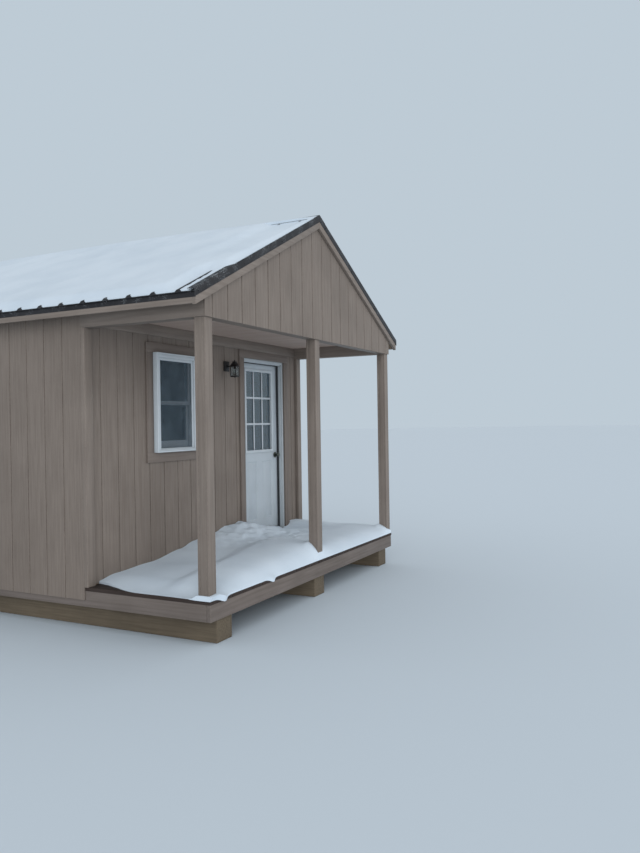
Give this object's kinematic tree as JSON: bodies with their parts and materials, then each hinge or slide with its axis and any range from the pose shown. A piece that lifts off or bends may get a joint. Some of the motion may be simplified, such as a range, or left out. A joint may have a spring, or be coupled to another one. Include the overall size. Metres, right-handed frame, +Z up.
{
  "type": "patrol hut",
  "caption": "Gable-roofed timber patrol hut on skids, with a roofed porch on square posts, an inward-swinging half-glass door, a hung window and a ribbed metal roof.",
  "frame": {"origin": "middle of the hut's footprint, on the ground under the skids", "axes": "+Z up, +X to the right seen from the porch, +Y from the porch to the rear wall"},
  "size_m": [3.9938, 4.9464, 3.6113],
  "materials": {
    "treated_timber": "rough-sawn, preservative-treated",
    "painted_trim": "flat exterior paint, taupe",
    "painted_siding": "flat exterior paint on grooved wood panels, taupe",
    "deck_boards": "weathered boards",
    "floor_boards": "plain boards",
    "inside_lining": "plain panels",
    "roof_timber": "sheathing",
    "roof_metal": "ribbed steel sheet, black paint",
    "white_vinyl": "smooth white",
    "white_paint": "painted white",
    "door_paint": "steel-faced door, painted white",
    "sill_metal": "mill",
    "hinge_steel": "satin",
    "dark_hardware": "dark bronze to black",
    "clear_glass": "clear"
  },
  "bodies": {
    "root": {"skid_left": "treated_timber", "skid_middle": "treated_timber", "skid_right": "treated_timber", "end_rim_boards": "painted_trim", "side_rim_boards": "painted_trim", "floor_joists": "treated_timber", "porch_deck": "deck_boards", "room_floor": "floor_boards", "left_wall": "painted_siding", "right_wall": "painted_siding", "rear_wall": "painted_siding", "rear_gable": "painted_siding", "front_wall_window_side": "painted_siding", "front_wall_door_side": "painted_siding", "front_wall_over_door": "painted_siding", "post_left": "painted_trim", "post_middle": "painted_trim", "post_right": "painted_trim", "wall_post_left": "painted_trim", "wall_post_right": "painted_trim", "porch_header": "painted_trim", "porch_beam_left": "painted_trim", "porch_beam_right": "painted_trim", "porch_frieze": "painted_trim", "porch_gable": "painted_siding", "porch_ceiling": "painted_siding", "room_ceiling": "inside_lining", "roof_panel_left": "roof_timber", "roof_panel_right": "roof_timber", "roof_metal_left": "roof_metal", "roof_metal_right": "roof_metal", "ridge_cap": "roof_metal", "rake_board_front_left": "painted_trim", "rake_board_front_right": "painted_trim", "rake_board_rear_left": "painted_trim", "rake_board_rear_right": "painted_trim", "fascia_left": "painted_trim", "fascia_right": "painted_trim", "rake_trim_front": "roof_metal", "rake_trim_rear": "roof_metal", "eave_trim_left": "roof_metal", "eave_trim_right": "roof_metal", "window_frame": "white_vinyl", "window_sashes": "white_vinyl", "window_glass": "clear_glass", "window_casing": "painted_trim", "door_jamb_left": "white_paint", "door_jamb_right": "white_paint", "door_head": "white_paint", "door_sill": "sill_metal", "door_casing": "painted_trim", "hinge_frame_leaves": "hinge_steel", "porch_light": "dark_hardware", "porch_light_glass": "clear_glass"},
    "door": {"door_slab": "door_paint", "door_lite_frame": "white_vinyl", "door_glass": "clear_glass", "door_knob": "dark_hardware", "hinge_door_leaves": "hinge_steel"}
  },
  "joints": [
    {"name": "door_hinge", "type": "hinge", "parent": "root", "child": "door", "pos_m": [0.5994, -1.0979, 1.378], "axis": [0, 0, 1], "range_deg": [0, 170]}
  ]
}
